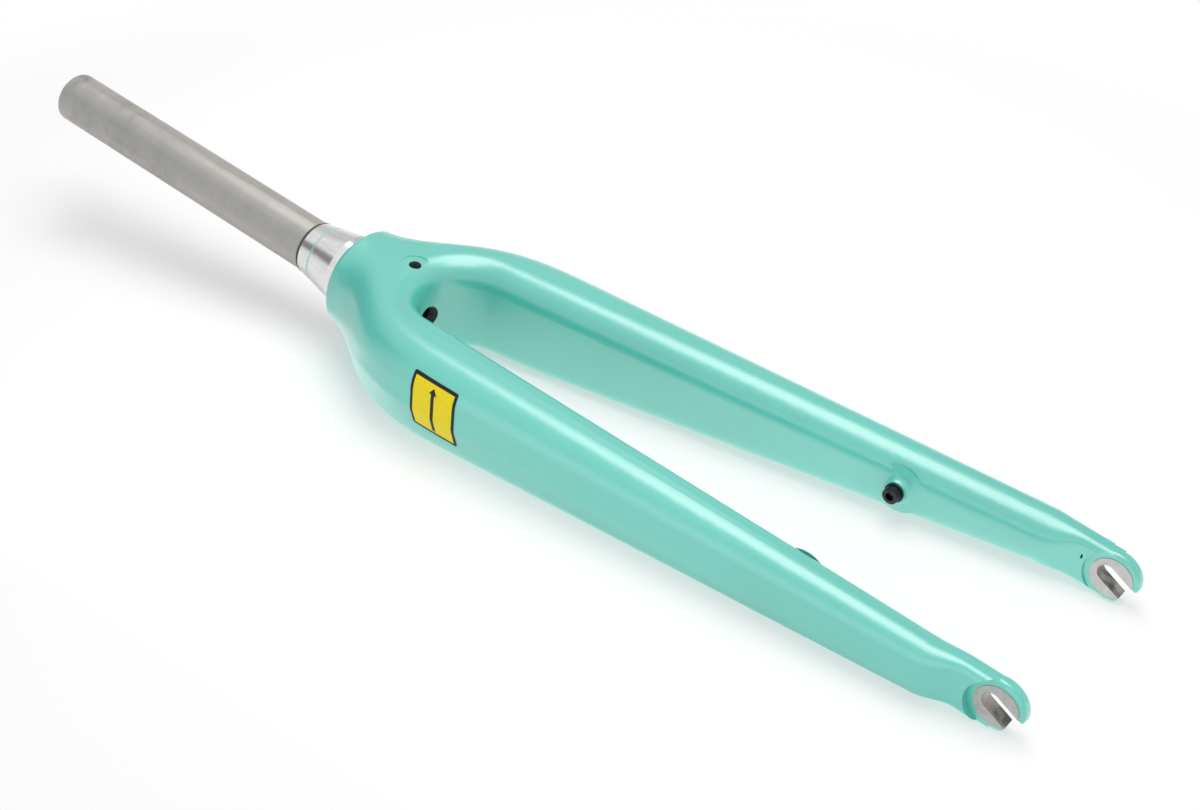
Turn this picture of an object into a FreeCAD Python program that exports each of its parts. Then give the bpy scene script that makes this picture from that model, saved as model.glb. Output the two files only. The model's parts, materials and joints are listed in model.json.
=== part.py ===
import FreeCAD, Part
import math
import os

# Road bicycle front fork: a bonded aluminium steerer, one moulded crown with two blades
# and two forged fork ends. Millimetres. It is drawn with the steerer axis along X, its top
# towards -X, the front of the bicycle up and the crown race seat at X = 0. Drops are
# measured from that seat along the axis. It is then laid down on the back of its crown
# and on its fork ends, as it comes to rest on a table.

# Steerer tube
steerer_diameter = 28.6
steerer_wall = 2.3
tube_length = 195.0
tube_chamfer = 0.6
bond_line_width = 0.9
socket_step = 0.4

# Tapered steerer base with the crown race seat
base_top_radius = 15.0
taper_length = 24.5
race_seat_diameter = 39.8
race_seat_height = 7.5
race_seat_step = 0.35
crown_stub_diameter = 38.0
base_wall = 3.6
spigot_wall = 2.2
spigot_length = 32.0
bond_clearance = 0.05

# Crown, from the round collar over the sloping shoulders
collar_radius = 27.0
collar_round = 3.2
collar_flare_angle = 4.0
collar_flat = 2.4
shoulder_drop = 35.0
shoulder_half_width = 44.4
shoulder_flare_angle = 35.0
shoulder_foot_drop = 75.0
crown_swell_angle = 3.0
crown_floor = 5.0
section_count = 21

# Blades, straight and tapered from the root below the crown
root_drop = 118.0
root_half_width = 62.9
blade_corner = 17.6
blade_rear_corner = 9.0
blade_facet_height = 26.5
root_front = 33.6
root_rear = 18.5
blade_end_drop = 373.0
blade_end_half_width = 65.8
blade_end_thickness = 21.2
blade_end_corner = 8.6
blade_end_facet_height = 10.25
blade_end_rear_corner = 6.0
crease_round = 10.0
facet_angle = 18.0
blade_front_angle = 4.2
blade_rear_angle = 9.65

# Wheel tunnel between the blades
arch_drop = 48.0
arch_radius = 24.2
arch_front_round = 13
arch_rear_round = 10.0
blade_inner_round = 12.0

# Holes in the crown
arch_opening_radius = 7.0
brake_hole_drop = 36.2
brake_hole_radius = 3.2
brake_seat_radius = 7.8
brake_seat_depth = 0.5
brake_nut_radius = 4.1

# Fork ends
axle_drop = 408.7
rake = 41.1
hub_spacing = 100.0
hub_seat_thickness = 7.2
hub_seat_radius = 10.2
hub_seat_height = 0.35
end_radius = 13.0
end_edge_round = 2.4
spot_face_margin = 0.6
slot_width = 9.0
slot_setback = 2.8
slot_angle = 24.5
front_prong_trim = 0.8
rear_prong_trim = 3.0
pinch_length = 20.0
tang_thickness = 11.4
tang_offset = 1.2
tang_inset = 0.5
tang_corner = 4.2
tang_facet_angle = 3.0
tang_section_count = 7
plug_length = 22.0
plug_inset = 3.6
vent_radius = 1.6
vent_depth = 5.0
vent_back = 16.5
vent_rise = 3.2

# Mudguard inserts, washers and bolts
insert_drop = 305.4
insert_radius = 4.0
insert_length = 9.0
boss_radius = 5.6
boss_foot_radius = 8.8
boss_height = 2.8
boss_skirt_radius = 13.0
boss_sink = 1.2
washer_radius = 4.9
washer_thickness = 1.0
bolt_radius = 2.5
bolt_head_radius = 4.1
bolt_head_height = 3.9
bolt_edge = 0.4
bolt_reach = 8.0
hex_socket_across = 4.0
hex_socket_depth = 2.4
thread_clearance = 0.05

V = FreeCAD.Vector
ALONG = V(1, 0, 0)
ACROSS = V(0, 1, 0)
UP = V(0, 0, 1)
CENTRE = V(0, 0, 0)


def slope(degrees):
    return math.tan(math.radians(degrees))


def between(x, x_from, v_from, x_to, v_to):
    return v_from + (v_to - v_from) * (x - x_from) / (x_to - x_from)


# Guide curve that leaves one point and reaches the next at stated slopes
def eased(x, x_from, v_from, slope_from, x_to, v_to, slope_to):
    run = x_to - x_from
    t = (x - x_from) / run
    bend = slope_from * (1 - t) - slope_to * t
    return v_from + (v_to - v_from) * t * t * (3 - 2 * t) + run * t * (1 - t) * bend


def evenly(x_from, x_to, count):
    return [between(step, 0, x_from, count - 1, x_to) for step in range(count)]


# Closed outline square to the steerer axis, from (y, z, radius) corners
def outline(x, corners):
    arcs = []
    for before, (y, z, radius), after in zip(corners[-1:] + corners, corners, corners[1:] + corners[:1]):
        corner = V(x, y, z)
        ways = [(V(x, *other[:2]) - corner).normalize() for other in (before, after)]
        inward = (ways[0] + ways[1]).normalize()
        half_turn = inward.getAngle(ways[0])
        start, end = [corner + way * (radius / math.tan(half_turn)) for way in ways]
        arcs.append(Part.Arc(start, corner + inward * (radius / math.sin(half_turn) - radius), end).toShape())
    edges = []
    for arc, after in zip(arcs, arcs[1:] + arcs[:1]):
        side = Part.LineSegment(arc.Vertexes[-1].Point, after.Vertexes[0].Point)
        edges.extend([arc, side.toShape()])
    return Part.Wire(edges)


# Solid turned about the steerer axis from (x, radius) corners
def turned(corners):
    points = [V(x, 0, radius) for x, radius in corners]
    return Part.Face(Part.makePolygon(points + points[:1])).revolve(CENTRE, ALONG, 360)


def mirrored(shape):
    return shape.mirror(CENTRE, ACROSS)


# Outline of the crown and blades in front view
blade_spread = (blade_end_half_width - root_half_width) / (blade_end_drop - root_drop)


def half_width(x):
    if x < shoulder_drop:
        return eased(x, 0, collar_radius, slope(collar_flare_angle),
                     shoulder_drop, shoulder_half_width, slope(shoulder_flare_angle))
    if x < root_drop:
        return eased(x, shoulder_drop, shoulder_half_width, slope(shoulder_flare_angle),
                     root_drop, root_half_width, blade_spread)
    return root_half_width + (x - root_drop) * blade_spread


# Front and rear edges in side view, straight along the blades
def front(x):
    if x < root_drop:
        return eased(x, 0, collar_radius, 0, root_drop, root_front, slope(blade_front_angle))
    return root_front + (x - root_drop) * slope(blade_front_angle)


def rear(x):
    if x < root_drop:
        return eased(x, 0, -collar_radius, -slope(crown_swell_angle),
                     root_drop, -root_rear, slope(blade_rear_angle))
    return -root_rear + (x - root_drop) * slope(blade_rear_angle)


# Value that eases from the round collar to the foot of the shoulder, then runs straight down the blade
def graded(x, at_collar, at_foot, at_end):
    if x < shoulder_foot_drop:
        return eased(x, 0, at_collar, 0, shoulder_foot_drop, at_foot, 0)
    return between(x, shoulder_foot_drop, at_foot, blade_end_drop, at_end)


# Outer side of a blade: an upright face, then a facet that leans in towards the rear edge
collar_corner = collar_radius - collar_flat / 2


def outer_side(y, z_rear, z_front, facet_height, front_corner, crease_corner, rear_corner, angle):
    return [(y, z_front, front_corner), (y, z_rear + facet_height, crease_corner),
            (y - facet_height * slope(angle), z_rear, rear_corner)]


def blade_outside(x):
    collar_facet_height = collar_radius - collar_corner * slope(facet_angle / 2)
    return outer_side(half_width(x), rear(x), front(x),
                      graded(x, collar_facet_height, blade_facet_height, blade_end_facet_height),
                      graded(x, collar_corner, blade_corner, blade_end_corner),
                      graded(x, collar_corner, crease_round, crease_round),
                      graded(x, collar_corner, blade_rear_corner, blade_end_rear_corner), facet_angle)


def body_outline(x):
    side = blade_outside(x)
    return outline(x, side + [(-y, z, radius) for y, z, radius in reversed(side)])


# Inner face of a blade: a line that touches the arch and leaves the end its thickness
arch_x = arch_drop + arch_radius
flank_run = blade_end_drop - arch_x
flank_end = blade_end_half_width - blade_end_thickness
flank_reach = math.hypot(flank_run, flank_end)
flank_angle = math.atan2(flank_end, flank_run) - math.asin(arch_radius / flank_reach)
flank_x = arch_x - arch_radius * math.sin(flank_angle)
flank_y = arch_radius * math.cos(flank_angle)


def blade_inside(x):
    return flank_y + (x - flank_x) * math.tan(flank_angle)


# Steerer tube, open at both ends and bored out at its foot for the base's spigot
steerer_radius = steerer_diameter / 2
tube_bore = steerer_radius - steerer_wall
tube_socket = tube_bore + socket_step
base_top = -race_seat_height - taper_length
spigot_top = base_top - spigot_length
tube_foot = base_top - bond_line_width
tube_top = tube_foot - tube_length
socket_top = spigot_top - bond_clearance
tube = turned([(tube_top, tube_bore), (tube_top, steerer_radius - tube_chamfer),
               (tube_top + tube_chamfer, steerer_radius), (tube_foot, steerer_radius),
               (tube_foot, tube_socket), (socket_top, tube_socket), (socket_top, tube_bore)])

# Ring of adhesive between the tube and the base
bond_line = turned([(tube_foot, tube_socket), (tube_foot, base_top_radius),
                    (base_top, base_top_radius), (base_top, tube_socket)])

# Steerer base: spigot, taper, race seat and the stub that is bonded into the crown
race_radius = race_seat_diameter / 2
stub_radius = crown_stub_diameter / 2
spigot_radius = tube_socket - bond_clearance
spigot_bore = spigot_radius - spigot_wall
base_bore = stub_radius - base_wall
base_foot = arch_drop - crown_floor
base = turned([(spigot_top, spigot_bore), (spigot_top, spigot_radius), (base_top, spigot_radius),
               (base_top, base_top_radius), (-race_seat_height, race_radius - race_seat_step),
               (-race_seat_height, race_radius), (0, race_radius), (0, stub_radius),
               (base_foot, stub_radius), (base_foot, base_bore), (0, base_bore),
               (base_top, spigot_bore)])

# Outside of the crown and blades, lofted from the collar to the ends of the blades
body = Part.makeLoft([body_outline(x) for x in evenly(0, blade_end_drop, section_count)], True)


# Wheel tunnel: an arch with two straight flanks, cut through from back to front
def arch_point(side):
    half_turn = (math.pi / 2 - flank_angle) / 2
    return V(arch_x - arch_radius * math.cos(half_turn),
             side * arch_radius * math.sin(half_turn), 0)


mouth_x = 2 * blade_end_drop
arch_top = V(arch_drop, 0, 0)
flank_tops = [V(flank_x, side * flank_y, 0) for side in (1, -1)]
mouth = [V(mouth_x, side * blade_inside(mouth_x), 0) for side in (1, -1)]
tunnel_outline = Part.Wire([
    Part.Arc(flank_tops[0], arch_point(1), arch_top).toShape(),
    Part.Arc(arch_top, arch_point(-1), flank_tops[1]).toShape(),
    Part.LineSegment(flank_tops[1], mouth[1]).toShape(),
    Part.LineSegment(mouth[1], mouth[0]).toShape(),
    Part.LineSegment(mouth[0], flank_tops[0]).toShape()])
tunnel = Part.Face(tunnel_outline).extrude(UP * mouth_x)
tunnel.translate(UP * -mouth_x / 2)
body = body.cut(tunnel)


# The tunnel's rims, front and rear, are rounded less and less towards the blade ends
def on_tunnel(point):
    if point.x < flank_x:
        return abs(math.hypot(point.x - arch_x, point.y) - arch_radius) < bond_clearance
    return abs(abs(point.y) - blade_inside(point.x)) < bond_clearance


def rim_radius(point):
    in_front = 2 * point.z > front(point.x) + rear(point.x)
    arch_round = arch_front_round if in_front else arch_rear_round
    return between(max(point.x, flank_x), flank_x, arch_round, blade_end_drop, blade_inner_round)


rims = []
for number, edge in enumerate(body.Edges, 1):
    start, middle, end = edge.discretize(3)
    runs_through = abs(start.z - end.z) > abs(start.x - end.x) + abs(start.y - end.y)
    if on_tunnel(start) and on_tunnel(middle) and not runs_through:
        rims.append((number, rim_radius(start), rim_radius(end)))
drawing = FreeCAD.newDocument("fork")
sharp = drawing.addObject("Part::Feature", "sharp")
sharp.Shape = body
rounded = drawing.addObject("Part::Fillet", "rounded")
rounded.Base = sharp
rounded.Edges = rims
drawing.recompute()
body = rounded.Shape.copy()
collar_rim = [edge for edge in body.Edges if edge.BoundBox.XMax < bond_clearance]
body = body.makeFillet(collar_round, collar_rim)

# Socket for the steerer base, with an opening down through the arch
socket_radius = stub_radius + bond_clearance
body = body.cut(Part.makeCylinder(socket_radius, base_foot, CENTRE, ALONG))
body = body.cut(Part.makeCylinder(arch_opening_radius, arch_x, CENTRE, ALONG))

# Brake hole through the crown and the base, spot-faced in front, with room for a nut behind
brake_at = V(brake_hole_drop, 0, 0)
brake_reach = 2 * front(brake_hole_drop)
seat_height = front(brake_hole_drop) - brake_seat_depth
brake_hole = Part.makeCylinder(brake_hole_radius, brake_reach, brake_at, UP)
brake_seat = Part.makeCylinder(brake_seat_radius, brake_reach, brake_at + UP * seat_height, UP)
brake_nut = Part.makeCylinder(brake_nut_radius, brake_reach, brake_at, -UP)
body = body.cut(brake_hole.fuse(brake_seat)).cut(brake_nut)
base = base.cut(brake_hole).cut(brake_nut)

# Boss on the inner face of the left blade, with the threaded insert bonded into it
insert_height = (front(insert_drop) + rear(insert_drop)) / 2
boss_top = blade_inside(insert_drop) - boss_height
boss_depth = boss_height + boss_sink


def at_insert(y):
    return V(insert_drop, y, insert_height)


def boss_corner(radius, depth):
    return at_insert(boss_top + depth) + ALONG * radius


# Its flank sweeps out in a hollow curve to a thin skirt that sinks into the blade
boss_hollow = boss_foot_radius - (boss_foot_radius - boss_radius) * math.sqrt(0.5)
boss_curve = Part.Arc(boss_corner(boss_radius, 0), boss_corner(boss_hollow, boss_height * math.sqrt(0.5)),
                      boss_corner(boss_foot_radius, boss_height))
boss_rest = Part.makePolygon([boss_corner(boss_foot_radius, boss_height),
                              boss_corner(boss_skirt_radius, boss_depth), boss_corner(0, boss_depth),
                              boss_corner(0, 0), boss_corner(boss_radius, 0)])
boss = Part.Face(Part.Wire([boss_curve.toShape()] + boss_rest.Edges)).revolve(at_insert(0), ACROSS, 360)
insert_hole = Part.makeCylinder(insert_radius + bond_clearance, insert_length, at_insert(boss_top), ACROSS)
thread_radius = bolt_radius + thread_clearance
insert = Part.makeCylinder(insert_radius, insert_length, at_insert(boss_top), ACROSS)
insert = insert.cut(Part.makeCylinder(thread_radius, insert_length, at_insert(boss_top), ACROSS))

# Washer and socket cap bolt
head_foot = boss_top - washer_thickness
head_top = head_foot - bolt_head_height
washer = Part.makeCylinder(washer_radius, washer_thickness, at_insert(head_foot), ACROSS)
washer = washer.cut(Part.makeCylinder(thread_radius, washer_thickness, at_insert(head_foot), ACROSS))
bolt_head = Part.makeCylinder(bolt_head_radius, bolt_head_height, at_insert(head_top), ACROSS)
head_rim = [edge for edge in bolt_head.Edges if edge.BoundBox.YMax < head_top + bolt_edge]
bolt_head = bolt_head.makeChamfer(bolt_edge, head_rim)
hex_radius = hex_socket_across / 2 / math.cos(math.pi / 6)
hex_corners = [at_insert(head_top) + V(math.cos(turn), 0, math.sin(turn)) * hex_radius
               for turn in evenly(0, 2 * math.pi, 7)]
hex_socket = Part.Face(Part.makePolygon(hex_corners)).extrude(ACROSS * hex_socket_depth)
shank = Part.makeCylinder(bolt_radius, washer_thickness + bolt_reach, at_insert(head_foot), ACROSS)
bolt = bolt_head.cut(hex_socket).fuse(shank).removeSplitter()

# Left fork end: the blade's section pinches into a flat tang
end_middle = (hub_spacing + hub_seat_thickness) / 2
tang_middle = end_middle + tang_offset
tang_inside = tang_middle - tang_thickness / 2
tang_outside = tang_middle + tang_thickness / 2
tang_front = rake + end_radius - tang_inset
tang_rear = rake - end_radius + tang_inset
pinch_end = blade_end_drop + pinch_length


def pinched(x, at_blade, at_tang):
    if x < pinch_end:
        return eased(x, blade_end_drop, at_blade, 0, pinch_end, at_tang, 0)
    return at_tang


def tang_outline(x):
    inside = pinched(x, blade_inside(blade_end_drop), tang_inside)
    z_rear = pinched(x, rear(blade_end_drop), tang_rear)
    z_front = pinched(x, front(blade_end_drop), tang_front)
    inner_corner = pinched(x, blade_inner_round, tang_corner)
    outside = outer_side(pinched(x, half_width(blade_end_drop), tang_outside), z_rear, z_front,
                         pinched(x, blade_end_facet_height, end_radius / 2),
                         pinched(x, blade_end_corner, tang_corner), crease_round,
                         pinched(x, blade_end_rear_corner, tang_corner),
                         pinched(x, facet_angle, tang_facet_angle))
    return outline(x, outside + [(inside, z_rear, inner_corner), (inside, z_front, inner_corner)])


tang = Part.makeLoft([tang_outline(x) for x in evenly(blade_end_drop, axle_drop, tang_section_count)], True)

# Round end with raised hub seats, spot-faced into the tang on both sides
hub_centre = V(axle_drop, 0, rake)


def disc(radius, thickness):
    return Part.makeCylinder(radius, thickness,
                             hub_centre + ACROSS * (end_middle - thickness / 2), ACROSS)


end_thickness = hub_seat_thickness - 2 * hub_seat_height
round_end = disc(end_radius, end_thickness)
end_rims = [edge for edge in round_end.Edges if edge.isClosed()]
round_end = round_end.makeFillet(end_edge_round, end_rims)
spot_faces = disc(end_radius + spot_face_margin, hub_spacing).cut(disc(2 * end_radius, end_thickness))
dropout = tang.cut(spot_faces).fuse(round_end).fuse(disc(hub_seat_radius, hub_seat_thickness))

# Axle slot, open away from the crown, between two trimmed prongs
slot_turn = FreeCAD.Rotation(ACROSS, slot_angle)
slot_out = slot_turn.multVec(ALONG)
slot_side = slot_turn.multVec(UP)


def slot_block(at, length, width):
    block = Part.makeBox(length, hub_spacing, width)
    block.Placement = FreeCAD.Placement(at, slot_turn)
    return block


slot_end = hub_centre - slot_out * slot_setback
prong_reach = math.sqrt(end_radius ** 2 - (slot_width / 2) ** 2)
slot = Part.makeCylinder(slot_width / 2, hub_spacing, slot_end, ACROSS)
slot = slot.fuse(slot_block(slot_end - slot_side * slot_width / 2, 2 * end_radius, slot_width))
front_trim = slot_block(hub_centre + slot_out * (prong_reach - front_prong_trim),
                        end_radius, end_radius)
rear_trim = slot_block(hub_centre + slot_out * (prong_reach - rear_prong_trim)
                       - slot_side * end_radius, end_radius, end_radius)
dropout = dropout.cut(slot).cut(front_trim).cut(rear_trim)

# Vent hole in the tang, and the plug that is bonded into the blade
vent_at = V(axle_drop - vent_back, tang_inside, rake + vent_rise)
vent = Part.makeCylinder(vent_radius, vent_depth, vent_at, ACROSS)


def blade_plug(inset):
    ends = []
    for x in (blade_end_drop - plug_length, blade_end_drop):
        inner, outer = blade_inside(x) + inset, half_width(x) - inset
        low, high = rear(x) + inset, front(x) - inset
        inner_corner, outer_corner = blade_inner_round - inset, blade_end_corner - inset
        ends.append(outline(x, [(outer, high, outer_corner), (outer, low, outer_corner),
                                (inner, low, inner_corner), (inner, high, inner_corner)]))
    return Part.makeLoft(ends, True, True)


dropout = dropout.cut(vent).fuse(blade_plug(plug_inset)).removeSplitter()
plug_socket = blade_plug(plug_inset - bond_clearance)

# Both blades get a boss, an insert hole and a socket for the fork end
body = body.fuse(boss).fuse(mirrored(boss)).removeSplitter()
for cutter in (insert_hole, plug_socket):
    body = body.cut(cutter).cut(mirrored(cutter))


# At rest the back of the crown and the fork ends touch the same plane
def end_over_crown(angle):
    lean = math.radians(angle)
    crown_low = min(rear(x) * math.cos(lean) - x * math.sin(lean)
                    for x in evenly(0, blade_end_drop, 100 * section_count))
    return rake * math.cos(lean) - axle_drop * math.sin(lean) - end_radius - crown_low


flat_angle, steep_angle = 0.0, 45.0
for halving in range(30):
    rest_angle = (flat_angle + steep_angle) / 2
    if end_over_crown(rest_angle) > 0:
        flat_angle = rest_angle
    else:
        steep_angle = rest_angle

# Lay the fork down, with the origin under the middle of its box
pieces = {"steerer_tube": tube, "bond_line": bond_line, "steerer_base": base,
          "crown_and_legs": body}
for name, piece in (("dropout", dropout), ("insert", insert), ("washer", washer), ("bolt", bolt)):
    pieces[name + "_left"] = piece
    pieces[name + "_right"] = mirrored(piece)
for piece in pieces.values():
    piece.rotate(CENTRE, ACROSS, rest_angle)
box = Part.makeCompound(list(pieces.values())).optimalBoundingBox(False, False)
os.makedirs("parts", exist_ok=True)
for name, piece in pieces.items():
    piece.translate(V(-box.Center.x, 0, -box.ZMin))
    piece.exportStep("parts/" + name + ".step")
print("rest angle", rest_angle, "box centre x", box.Center.x, "lowest z", box.ZMin)
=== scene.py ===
import bpy
import json
import math
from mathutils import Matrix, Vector


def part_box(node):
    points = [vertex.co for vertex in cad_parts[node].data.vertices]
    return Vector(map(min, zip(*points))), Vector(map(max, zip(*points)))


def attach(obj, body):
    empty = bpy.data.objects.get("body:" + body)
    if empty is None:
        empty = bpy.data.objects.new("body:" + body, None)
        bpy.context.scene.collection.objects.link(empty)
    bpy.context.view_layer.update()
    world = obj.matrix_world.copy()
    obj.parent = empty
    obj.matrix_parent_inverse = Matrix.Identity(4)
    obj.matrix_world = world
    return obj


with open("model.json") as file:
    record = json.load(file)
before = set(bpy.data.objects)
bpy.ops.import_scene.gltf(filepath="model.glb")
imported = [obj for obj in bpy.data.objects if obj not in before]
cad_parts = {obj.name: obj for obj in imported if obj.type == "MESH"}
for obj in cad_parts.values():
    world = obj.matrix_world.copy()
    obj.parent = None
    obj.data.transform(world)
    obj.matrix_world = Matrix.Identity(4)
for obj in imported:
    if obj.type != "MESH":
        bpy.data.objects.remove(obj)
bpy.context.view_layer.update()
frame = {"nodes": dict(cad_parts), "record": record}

# STEERER TUBE
# A drawn aluminium tube, left bare and bonded over the spigot of the base. It is satin, with
# faint drawing lines along it, dark smudges near the top, a darker streaked band along one
# side and a smear of adhesive at the foot.
nodes = frame["nodes"]
mounts = {mount["name"]: mount for mount in frame["record"]["mounts"]}
mm = 0.001
steerer = mounts["steerer"]
steerer_axis = Vector(steerer["axis"])
front_way = Vector((steerer_axis.z, 0, -steerer_axis.x))
tilt = math.atan2(steerer_axis.z, -steerer_axis.x)
half_tube = steerer_axis * steerer["dims"]["length_mm"] * mm / 2
tube_top = Vector(steerer["pos_m"]) + half_tube
tube_foot = Vector(steerer["pos_m"]) - half_tube
satin_dark = (0.415, 0.395, 0.37)
satin_light = (0.48, 0.455, 0.43)
satin_metallic = 0.85
drawing_pull = (18, 520, 520)
smudge_grey = (0.25, 0.25, 0.25)
smudge_size = 42
smudge_end = 0.03
smudge_fade_end = 0.12
smudge_faint = 0.3
side_band_grey = (0.33, 0.34, 0.345)
side_band_turn = math.radians(56)
side_band_way = front_way * math.cos(side_band_turn) - Vector((0, math.sin(side_band_turn), 0))
side_band_strength = 0.75
side_band_pull = (420, 45, 45)
smear_brown = (0.06, 0.05, 0.04)
smear_height = 0.001
smear_end = 0.0013


def plug(tree, node, inputs):
    for name, value in dict(inputs).items():
        socket = node.inputs[name]
        if isinstance(value, bpy.types.NodeSocket):
            tree.links.new(value, socket)
        else:
            socket.default_value = value


def add(tree, kind, inputs=(), **settings):
    made = tree.nodes.new(kind)
    for name, value in settings.items():
        setattr(made, name, value)
    plug(tree, made, inputs)
    return made


def reckon(tree, how, *values):
    return add(tree, "ShaderNodeMath", enumerate(values), operation=how).outputs[0]


def noise(tree, place, scale, detail, roughness=0.5):
    given = {"Vector": place, "Scale": scale, "Detail": detail, "Roughness": roughness}
    return add(tree, "ShaderNodeTexNoise", given).outputs["Fac"]


def ramp(tree, value, *stops):
    made = add(tree, "ShaderNodeValToRGB", {"Fac": value})
    for element, (position, shade) in zip(made.color_ramp.elements, stops):
        element.position = position
        element.color = (shade, shade, shade, 1) if isinstance(shade, (int, float)) else (*shade, 1)
    return made.outputs["Color"]


def new_group(name, inputs, output):
    group = bpy.data.node_groups.new(name, "ShaderNodeTree")
    for socket, kind in inputs.items():
        group.interface.new_socket(socket, in_out="INPUT", socket_type=kind)
    group.interface.new_socket(output, in_out="OUTPUT", socket_type="NodeSocketFloat")
    return group, add(group, "NodeGroupInput").outputs


# Smudges: broad soft clouds with finer dabs inside them
finer_dabs = 5.0
smudges, given = new_group("smudges", {"Vector": "NodeSocketVector", "Size": "NodeSocketFloat",
                                       "Amount": "NodeSocketFloat"}, "Mask")
clouds = noise(smudges, given["Vector"], given["Size"], detail=5.0, roughness=0.62)
dab_size = reckon(smudges, "MULTIPLY", given["Size"], finer_dabs)
dabs = noise(smudges, given["Vector"], dab_size, detail=3.0, roughness=0.6)
both = reckon(smudges, "MULTIPLY", ramp(smudges, clouds, (0.42, 0.0), (0.68, 1.0)),
              ramp(smudges, dabs, (0.35, 0.35), (0.65, 1.0)))
add(smudges, "NodeGroupOutput", {"Mask": reckon(smudges, "MULTIPLY", both, given["Amount"])})

# Drawn lines: noise that is stretched along the axis with the smallest pull
drawn_lines, given = new_group("drawn_lines",
                               {"Vector": "NodeSocketVector", "Pull": "NodeSocketVector"}, "Lines")
pulled = add(drawn_lines, "ShaderNodeVectorMath",
             {0: given["Vector"], 1: given["Pull"]}, operation="MULTIPLY")
lines = noise(drawn_lines, pulled.outputs["Vector"], scale=1.0, detail=4.0, roughness=0.7)
add(drawn_lines, "NodeGroupOutput", {"Lines": lines})


def new_material(name):
    material = bpy.data.materials.new(name)
    material.use_nodes = True
    tree = material.node_tree
    surface = tree.nodes["Principled BSDF"]
    place = add(tree, "ShaderNodeTexCoord").outputs["Object"]
    return material, tree, surface, place


def offset(tree, place, start):
    return add(tree, "ShaderNodeVectorMath", {0: place, 1: start}, operation="SUBTRACT").outputs["Vector"]


def measure(tree, how, *values):
    return add(tree, "ShaderNodeVectorMath", enumerate(values), operation=how).outputs["Value"]


def fade(tree, value, start, end, first, last, how="SMOOTHSTEP"):
    made = add(tree, "ShaderNodeMapRange", interpolation_type=how)
    plug(tree, made, {"Value": value, "From Min": start, "From Max": end, "To Min": first, "To Max": last})
    return made.outputs["Result"]


# A mix takes its two colours in sockets 6 and 7, after those for values and vectors
def mix(tree, share, first, second):
    return add(tree, "ShaderNodeMix", {"Factor": share, 6: first, 7: second}, data_type="RGBA").outputs[2]


def bump(tree, height, strength, distance):
    made = add(tree, "ShaderNodeBump", {"Height": height, "Strength": strength, "Distance": distance})
    return made.outputs["Normal"]


def dress(node, material):
    node.data.materials.clear()
    node.data.materials.append(material)


satin_aluminium, tree, surface, place = new_material("satin_aluminium")
along_tube = add(tree, "ShaderNodeMapping", {"Vector": place, "Rotation": (0, -tilt, 0)}).outputs["Vector"]
drawn = add(tree, "ShaderNodeGroup", node_tree=drawn_lines)
plug(tree, drawn, {"Vector": along_tube, "Pull": drawing_pull})
colour = ramp(tree, drawn.outputs["Lines"], (0.25, satin_dark), (0.75, satin_light))

marks = add(tree, "ShaderNodeGroup", node_tree=smudges)
plug(tree, marks, {"Vector": along_tube, "Size": smudge_size, "Amount": 1.0})
below_top = measure(tree, "DOT_PRODUCT", offset(tree, tube_top, place), steerer_axis)
handled = ramp(tree, below_top, (smudge_end, 1.0), (smudge_fade_end, smudge_faint))
colour = mix(tree, reckon(tree, "MULTIPLY", marks.outputs["Mask"], handled), colour, (*smudge_grey, 1))

# A darker streaked band runs along the side of the tube that faces forwards and towards the near side
outward = add(tree, "ShaderNodeTexCoord").outputs["Normal"]
facing = measure(tree, "DOT_PRODUCT", outward, side_band_way)
side_band_lines = add(tree, "ShaderNodeGroup", node_tree=drawn_lines)
plug(tree, side_band_lines, {"Vector": along_tube, "Pull": side_band_pull})
side_band = reckon(tree, "MULTIPLY", ramp(tree, facing, (0.80, 0.0), (0.97, side_band_strength)),
                ramp(tree, side_band_lines.outputs["Lines"], (0.3, 0.45), (0.7, 1.0)))
colour = mix(tree, side_band, colour, (*side_band_grey, 1))

above_foot = measure(tree, "DOT_PRODUCT", offset(tree, place, tube_foot), steerer_axis)
smeared = fade(tree, above_foot, smear_height, smear_end, 1.0, 0.0, how="LINEAR")
colour = mix(tree, smeared, colour, (*smear_brown, 1))
plug(tree, surface, {"Base Color": colour, "Metallic": satin_metallic,
                     "Roughness": ramp(tree, drawn.outputs["Lines"], (0.3, 0.36), (0.7, 0.5)),
                     "Normal": bump(tree, drawn.outputs["Lines"], strength=0.12, distance=0.0004)})
dress(nodes["steerer_tube"], satin_aluminium)

# BOND LINE
# The ring of structural adhesive that squeezed out between the tube and the base. It is matt,
# brown-black and a little uneven.
adhesive_dark = (0.035, 0.028, 0.022)
adhesive_light = (0.11, 0.09, 0.07)

cured_adhesive, tree, surface, place = new_material("cured_adhesive")
lumps = noise(tree, place, scale=420.0, detail=3.0)
plug(tree, surface, {"Base Color": ramp(tree, lumps, (0.3, adhesive_dark), (0.7, adhesive_light)),
                     "Roughness": 0.6,
                     "Normal": bump(tree, lumps, strength=0.5, distance=0.0004)})
dress(nodes["bond_line"], cured_adhesive)

# STEERER BASE
# A turned and bored aluminium taper with the crown race seat at its foot, bonded into the
# crown. Bright turning marks run round it, and a line of paint crept under the masking tape.
race_seat = mounts["crown_race_seat"]
seat_middle = Vector(race_seat["pos_m"])
turned_dark = (0.66, 0.66, 0.66)
turned_light = (0.80, 0.80, 0.80)
streak_pull = (40, 380, 380)
mint = (0.076, 0.505, 0.42)
paint_line_height = 0.0199
paint_line_half_width = 0.0011
paint_line_strength = 0.42

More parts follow.
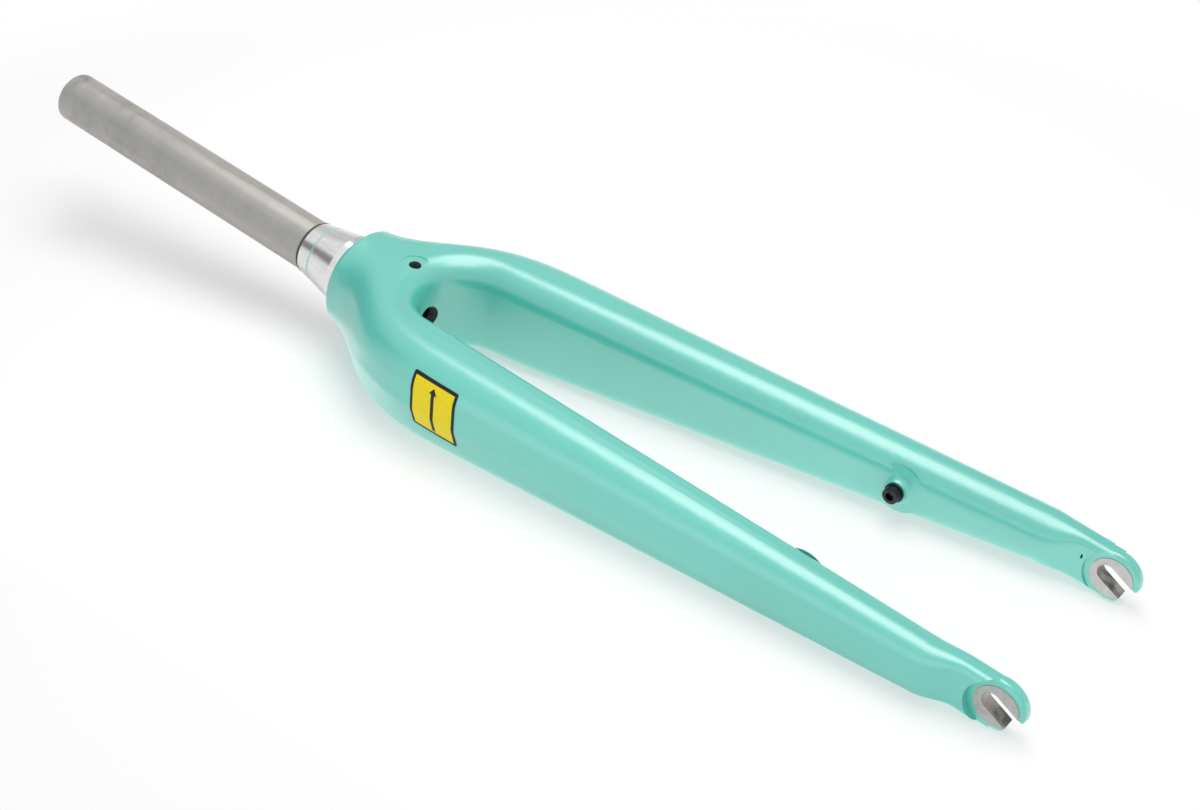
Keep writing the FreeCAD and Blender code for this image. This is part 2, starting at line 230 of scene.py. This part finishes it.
bright_aluminium, tree, surface, place = new_material("bright_aluminium")
height = measure(tree, "DOT_PRODUCT", offset(tree, place, seat_middle), steerer_axis)
turning = add(tree, "ShaderNodeTexNoise", noise_dimensions="1D")
plug(tree, turning, {"W": height, "Scale": 2600.0, "Detail": 3.0, "Roughness": 0.7})
along_base = add(tree, "ShaderNodeMapping", {"Vector": place, "Rotation": (0, -tilt, 0)}).outputs["Vector"]
streaks = add(tree, "ShaderNodeGroup", node_tree=drawn_lines)
plug(tree, streaks, {"Vector": along_base, "Pull": streak_pull})
metal = ramp(tree, streaks.outputs["Lines"], (0.3, turned_dark), (0.7, turned_light))

off_line = reckon(tree, "ABSOLUTE", reckon(tree, "SUBTRACT", height, paint_line_height))
wander = noise(tree, place, scale=160.0, detail=2.0)
line_edge = reckon(tree, "MULTIPLY", wander, 2 * paint_line_half_width)
on_line = reckon(tree, "LESS_THAN", off_line, line_edge)
crept = reckon(tree, "MULTIPLY", on_line, paint_line_strength)
plug(tree, surface, {"Base Color": mix(tree, crept, metal, (*mint, 1)),
                     "Metallic": reckon(tree, "SUBTRACT", 1.0, crept),
                     "Roughness": ramp(tree, turning.outputs["Fac"], (0.3, 0.12), (0.7, 0.24)),
                     "Normal": bump(tree, turning.outputs["Fac"], strength=0.08, distance=0.0002)})
dress(nodes["steerer_base"], bright_aluminium)

# CROWN AND LEGS
# One hollow moulding of fibre and resin, from the collar over the shoulders to the ends of
# the blades. It is filled, sanded and sprayed in mint under a satin clear coat.
mint_shadow = [0.95 * part for part in mint]
mint_light = [1.04 * part for part in mint]
paint_roughness = 0.33
hole_shade_dark = (0.05, 0.055, 0.055)
hole_shade_light = (0.15, 0.155, 0.15)
arch_opening_radius = 0.00706
crown_reach = 0.075
hole_margin = 0.00006

# Orange peel: shallow waves under fine dimples
wave_share = 4.0
orange_peel, given = new_group("orange_peel", {"Vector": "NodeSocketVector"}, "Height")
dimples = noise(orange_peel, given["Vector"], scale=650.0, detail=1.0, roughness=0.4)
waves = noise(orange_peel, given["Vector"], scale=75.0, detail=2.0)
peel_height = reckon(orange_peel, "MULTIPLY_ADD", waves, wave_share, dimples)
add(orange_peel, "NodeGroupOutput", {"Height": peel_height})


def spray(tree, surface, place):
    cloud = noise(tree, place, scale=9.0, detail=3.0)
    peel = add(tree, "ShaderNodeGroup", node_tree=orange_peel)
    plug(tree, peel, {"Vector": place})
    skin = bump(tree, peel.outputs["Height"], strength=0.05, distance=0.0003)
    plug(tree, surface, {"IOR": 2.03, "Coat Weight": 0.4, "Coat Roughness": 0.22, "Normal": skin})
    return ramp(tree, cloud, (0.35, mint_shadow), (0.65, mint_light))


def bored(tree, place, middle, axis, radius, half_length):
    off = offset(tree, place, middle)
    run = measure(tree, "DOT_PRODUCT", off, axis)
    foot = add(tree, "ShaderNodeVectorMath", {0: axis, "Scale": run}, operation="SCALE").outputs["Vector"]
    inside = reckon(tree, "LESS_THAN", measure(tree, "DISTANCE", off, foot), radius)
    within = reckon(tree, "LESS_THAN", reckon(tree, "ABSOLUTE", run), half_length)
    return reckon(tree, "MULTIPLY", inside, within)


mint_paint, tree, surface, place = new_material("mint_paint")
colour = spray(tree, surface, place)

# Painted shade: the walls of the holes are coloured dark grey with a fine mottle, for the shade inside them
shaded_holes = bored(tree, place, seat_middle, steerer_axis, arch_opening_radius, crown_reach)
for hole in (mounts["brake_hole"], mounts["brake_nut_hole"]):
    wall = bored(tree, place, Vector(hole["pos_m"]), Vector(hole["axis"]),
                 hole["dims"]["r_mm"] * mm + hole_margin, hole["dims"]["length_mm"] * mm / 2)
    shaded_holes = reckon(tree, "MAXIMUM", shaded_holes, wall)
hole_mottle = noise(tree, place, scale=900.0, detail=2.0)
colour = mix(tree, shaded_holes, colour, ramp(tree, hole_mottle, (0.35, hole_shade_dark), (0.65, hole_shade_light)))
plug(tree, surface, {"Base Color": colour, "Roughness": paint_roughness})
dress(nodes["crown_and_legs"], mint_paint)

# FORK ENDS
# Forged aluminium ends, bonded into the blades and painted with them. The hub seats were
# masked and the axle slots cut afterwards, so both are bare grey metal.
axle = Vector(mounts["axle_slots"]["pos_m"])
slot_way = Vector(mounts["axle_slots"]["axis"])
side_plane = (1, 0, 1)
hub_seat_radius = 0.0102
slot_half_width = 0.0046
slot_setback = 0.0028
forged_dark = (0.37, 0.36, 0.355)
forged_light = (0.48, 0.47, 0.46)
slot_wall_dark = (0.06, 0.06, 0.058)
slot_wall_light = (0.34, 0.32, 0.29)
forged_metallic = 0.85
forged_roughness = 0.5

painted_end, tree, surface, place = new_material("painted_end")
colour = spray(tree, surface, place)
from_axle = add(tree, "ShaderNodeVectorMath",
                {0: offset(tree, place, axle), 1: side_plane}, operation="MULTIPLY").outputs["Vector"]
on_seat = reckon(tree, "LESS_THAN", measure(tree, "LENGTH", from_axle), hub_seat_radius)
outwards = reckon(tree, "MAXIMUM", measure(tree, "DOT_PRODUCT", from_axle, slot_way), -slot_setback)
slot_line = add(tree, "ShaderNodeVectorMath", {0: slot_way, "Scale": outwards}, operation="SCALE")
off_slot = measure(tree, "DISTANCE", from_axle, slot_line.outputs["Vector"])
in_slot = reckon(tree, "LESS_THAN", off_slot, slot_half_width)
bare = reckon(tree, "MAXIMUM", on_seat, in_slot)
forging = noise(tree, place, scale=300.0, detail=4.0, roughness=0.7)
# The walls of the axle slots are a dark, mottled grey
slot_wall_mottle = noise(tree, place, scale=130.0, detail=3.0)
metal = mix(tree, in_slot, ramp(tree, forging, (0.3, forged_dark), (0.7, forged_light)),
            ramp(tree, slot_wall_mottle, (0.38, slot_wall_dark), (0.62, slot_wall_light)))
rougher = forged_roughness - paint_roughness
plug(tree, surface, {"Base Color": mix(tree, bare, colour, metal),
                     "Metallic": reckon(tree, "MULTIPLY", bare, forged_metallic),
                     "Roughness": reckon(tree, "MULTIPLY_ADD", bare, rougher, paint_roughness)})
for side in ("left", "right"):
    dress(nodes["dropout_" + side], painted_end)

# MUDGUARD FITTINGS
# Threaded aluminium inserts bonded into the blades, each closed by a black steel socket cap
# screw on a plain washer.
oxide_black = (0.012, 0.013, 0.014)
oxide_worn = (0.05, 0.05, 0.05)
milled_dark = (0.5, 0.5, 0.5)
milled_light = (0.65, 0.65, 0.65)

black_oxide, tree, surface, place = new_material("black_oxide")
wear = add(tree, "ShaderNodeGroup", node_tree=smudges)
plug(tree, wear, {"Vector": place, "Size": 260, "Amount": 0.8})
plug(tree, surface, {"Base Color": ramp(tree, wear.outputs["Mask"], (0.0, oxide_black), (1.0, oxide_worn)),
                     "Metallic": 0.6, "Roughness": 0.36})

plain_aluminium, tree, surface, place = new_material("plain_aluminium")
milling = noise(tree, place, scale=500.0, detail=3.0)
plug(tree, surface, {"Base Color": ramp(tree, milling, (0.3, milled_dark), (0.7, milled_light)),
                     "Metallic": 0.9, "Roughness": 0.4})
for side in ("left", "right"):
    dress(nodes["insert_" + side], plain_aluminium)
    dress(nodes["washer_" + side], black_oxide)
    dress(nodes["bolt_" + side], black_oxide)

# LABEL
# A printed vinyl sticker that shows which way the fork faces. It is stuck on the right blade,
# and its lower end folds over the blade's crease.
label_width = 0.0286
label_height = 0.0318
label_drop = 0.1077
label_rise = 0.0099
label_turn = math.radians(5.3)
label_columns = 24
label_rows = 30
label_thickness = 0.0001
label_corner = 0.0011
corner_steps = 4
smooth_angle = math.radians(40)
border = {"side": 0.0017, "top": 0.002, "bottom": 0.0016}
arrow_tip = 0.0039
arrow_foot = 0.0026
arrow_head_length = 0.0034
arrow_head_half_width = 0.0025
arrow_shaft_half_width = 0.00105
yellow_dark = (0.73, 0.58, 0.008)
yellow_light = (0.80, 0.65, 0.012)
ink_black = (0.012, 0.012, 0.013)

race_foot = seat_middle - steerer_axis * race_seat["dims"]["length_mm"] * mm / 2
label_middle = race_foot - steerer_axis * label_drop + front_way * label_rise
label_middle.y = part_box("crown_and_legs")[0][1] - label_thickness
bpy.ops.object.select_all(action="DESELECT")
bpy.ops.mesh.primitive_grid_add(x_subdivisions=label_columns, y_subdivisions=label_rows, size=1,
                                location=label_middle, rotation=(math.pi / 2, label_turn, 0))
label = bpy.context.object
label.name = "label"
label.scale = (label_width, label_height, 1)
bpy.ops.object.transform_apply(location=True, rotation=True, scale=True)
stick = label.modifiers.new("stick", "SHRINKWRAP")
stick.target = nodes["crown_and_legs"]
stick.wrap_method = "PROJECT"
stick.use_project_y = True
stick.wrap_mode = "ABOVE_SURFACE"
stick.offset = label_thickness
bpy.ops.object.modifier_apply(modifier="stick")

# Its print is laid out in metres over the stuck surface, from the lower left corner
points = label.data.vertices
row_length = label_columns + 1
laid_out = {}
for column in range(row_length):
    climbed = 0.0
    for row in range(label_rows + 1):
        at = row * row_length + column
        if row:
            climbed += (points[at].co - points[at - row_length].co).length
        laid_out[at] = (label_width * column / label_columns, climbed)
printed_height = max(climbed for across, climbed in laid_out.values())
print_map = label.data.uv_layers.active
print_map_name = print_map.name
for loop in label.data.loops:
    print_map.data[loop.index].uv = laid_out[loop.vertex_index]

# Its four corners are rounded before it gets its thickness
bpy.ops.object.mode_set(mode="EDIT")
bpy.ops.mesh.select_all(action="DESELECT")
bpy.ops.object.mode_set(mode="OBJECT")
for row in (0, label_rows):
    for column in (0, label_columns):
        points[row * row_length + column].select = True
bpy.ops.object.mode_set(mode="EDIT")
bpy.ops.mesh.select_mode(type="VERT")
bpy.ops.mesh.bevel(offset=label_corner, segments=corner_steps, affect="VERTICES")
bpy.ops.object.mode_set(mode="OBJECT")
thick = label.modifiers.new("thick", "SOLIDIFY")
thick.thickness = label_thickness
thick.offset = 1
bpy.ops.object.modifier_apply(modifier="thick")

printed_vinyl, tree, surface, place = new_material("printed_vinyl")
layout = add(tree, "ShaderNodeUVMap", uv_map=print_map_name)
across_up = add(tree, "ShaderNodeSeparateXYZ", {"Vector": layout.outputs["UV"]})
across = across_up.outputs["X"]
up = across_up.outputs["Y"]
off_middle = reckon(tree, "ABSOLUTE", reckon(tree, "SUBTRACT", across, label_width / 2))
at_side = reckon(tree, "GREATER_THAN", off_middle, label_width / 2 - border["side"])
at_top = reckon(tree, "GREATER_THAN", up, printed_height - border["top"])
at_bottom = reckon(tree, "LESS_THAN", up, border["bottom"])

below_tip = reckon(tree, "SUBTRACT", printed_height - arrow_tip, up)
head_half_width = reckon(tree, "MULTIPLY", below_tip, arrow_head_half_width / arrow_head_length)
in_head = reckon(tree, "MULTIPLY", reckon(tree, "LESS_THAN", off_middle, head_half_width),
                 reckon(tree, "LESS_THAN", below_tip, arrow_head_length))
in_shaft = reckon(tree, "MULTIPLY", reckon(tree, "LESS_THAN", off_middle, arrow_shaft_half_width),
                  reckon(tree, "GREATER_THAN", up, arrow_foot))
in_shaft = reckon(tree, "MULTIPLY", in_shaft,
                  reckon(tree, "GREATER_THAN", below_tip, arrow_head_length / 2))

ink = at_side
for stroke in (at_top, at_bottom, in_head, in_shaft):
    ink = reckon(tree, "MAXIMUM", ink, stroke)
mottle = noise(tree, place, scale=700.0, detail=3.0)
yellow = ramp(tree, mottle, (0.3, yellow_dark), (0.7, yellow_light))
plug(tree, surface, {"Base Color": mix(tree, ink, yellow, (*ink_black, 1)),
                     "Roughness": ramp(tree, mottle, (0.3, 0.4), (0.7, 0.5)),
                     "Specular IOR Level": 0.2})
label.data.materials.append(printed_vinyl)
bpy.ops.object.shade_smooth_by_angle(angle=smooth_angle)
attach(label, "root")

# STUDIO
# The fork lies on a white sweep in a bright tent with unlit sides, under one long soft light,
# with a lit table below and a white card beside it. Near the fork the sweep keeps the shadow,
# and further away it turns pure white.
sweep_size = 16
sweep_white = (0.95, 0.95, 0.95, 1)
pure_white = (1, 1, 1, 1)
shadow_side = {"start": -0.22, "end": 0.06, "first": 0.2, "last": 0.5}
sweep_turns_white = 0.4
sweep_all_white = 0.62

bpy.ops.object.select_all(action="DESELECT")
bpy.ops.mesh.primitive_grid_add(x_subdivisions=2, y_subdivisions=2, size=sweep_size, location=(0, 0, 0))
sweep = bpy.context.object
sweep.name = "sweep"
white_sweep = bpy.data.materials.new("white_sweep")
white_sweep.use_nodes = True
tree = white_sweep.node_tree
tree.nodes.clear()
place = add(tree, "ShaderNodeTexCoord").outputs["Object"]
along = add(tree, "ShaderNodeSeparateXYZ", {"Vector": place}).outputs["X"]
near_share = fade(tree, along, **shadow_side)
far_share = fade(tree, measure(tree, "LENGTH", place), sweep_turns_white, sweep_all_white, 0.0, 1.0)
share = reckon(tree, "MAXIMUM", near_share, far_share)
rays = add(tree, "ShaderNodeLightPath").outputs
seen = reckon(tree, "MAXIMUM", rays["Is Camera Ray"], rays["Is Glossy Ray"])
seen = reckon(tree, "MAXIMUM", seen, rays["Is Transmission Ray"])
paper = add(tree, "ShaderNodeBsdfDiffuse", {"Color": sweep_white})
white = add(tree, "ShaderNodeEmission", {"Color": pure_white, "Strength": 1.0})
lift = reckon(tree, "MULTIPLY", seen, share)
joined = add(tree, "ShaderNodeMixShader", {0: lift, 1: paper.outputs["BSDF"], 2: white.outputs["Emission"]})
add(tree, "ShaderNodeOutputMaterial", {"Surface": joined.outputs["Shader"]})
sweep.data.materials.append(white_sweep)

# Each unlit side of the tent has its turn and rise, the angles from there within which it is
# fully dark and at which it ends, all in degrees, and its depth
tent_level = 0.65
unlit_sides = [{"turn": 178, "rise": 6, "full": 14, "end": 40, "depth": 0.85},
               {"turn": -149, "rise": 25, "full": 5, "end": 14, "depth": 0.75},
               {"turn": 118, "rise": 38, "full": 10, "end": 40, "depth": 0.35}]

world = bpy.data.worlds.new("tent")
bpy.context.scene.world = world
world.use_nodes = True
tree = world.node_tree
tree.nodes.clear()
rays = add(tree, "ShaderNodeLightPath").outputs
way = add(tree, "ShaderNodeTexCoord").outputs["Generated"]
mirrored = reckon(tree, "MAXIMUM", rays["Is Glossy Ray"], rays["Is Transmission Ray"])
tent = reckon(tree, "MULTIPLY_ADD", mirrored, 1 - tent_level, tent_level)
for side in unlit_sides:
    turn = math.radians(side["turn"])
    rise = math.radians(side["rise"])
    unlit_way = (math.cos(rise) * math.cos(turn), math.cos(rise) * math.sin(turn), math.sin(rise))
    towards = measure(tree, "DOT_PRODUCT", way, unlit_way)
    lit = fade(tree, towards, math.cos(math.radians(side["end"])), math.cos(math.radians(side["full"])),
               1.0, 1 - side["depth"])
    tent = reckon(tree, "MULTIPLY", tent, lit)
level = reckon(tree, "MAXIMUM", tent, rays["Is Camera Ray"])
sky = add(tree, "ShaderNodeBackground", {"Color": pure_white, "Strength": level})
add(tree, "ShaderNodeOutputWorld", {"Surface": sky.outputs["Background"]})


def place_light(name, length, width, power, location, rotation):
    lamp = bpy.data.lights.new(name, "AREA")
    lamp.shape = "RECTANGLE"
    lamp.size = length
    lamp.size_y = width
    lamp.energy = power
    light = bpy.data.objects.new(name, lamp)
    bpy.context.scene.collection.objects.link(light)
    light.location = location
    light.rotation_euler = rotation
    light.visible_camera = False


# The long soft light hangs over the far side, the lit table brightens the undersides, and the
# card stands beside the near blade and brightens its flank
place_light("soft_light", length=1.05, width=0.55, power=5.8,
            location=(0, 0.14, 0.9), rotation=(0, 0, math.radians(140)))
place_light("table_light", length=1.1, width=0.635, power=0.95,
            location=(0.42, 0.2575, 0.0003), rotation=(math.pi, 0, 0))
place_light("card", length=0.64, width=0.13, power=0.14,
            location=(0.2, -0.24, 0.065), rotation=(math.pi / 2, 0, 0))

camera_place = (0.51961, -0.60058, 0.52511)
camera_angles = (56.398, -1.343, 38.107)
sensor_width = 36
focal_length = 55.53

lens = bpy.data.cameras.new("camera")
lens.sensor_width = sensor_width
lens.lens = focal_length
camera = bpy.data.objects.new("camera", lens)
bpy.context.scene.collection.objects.link(camera)
camera.location = camera_place
camera.rotation_euler = [math.radians(angle) for angle in camera_angles]
bpy.context.scene.camera = camera
bpy.context.scene.view_settings.view_transform = "Standard"
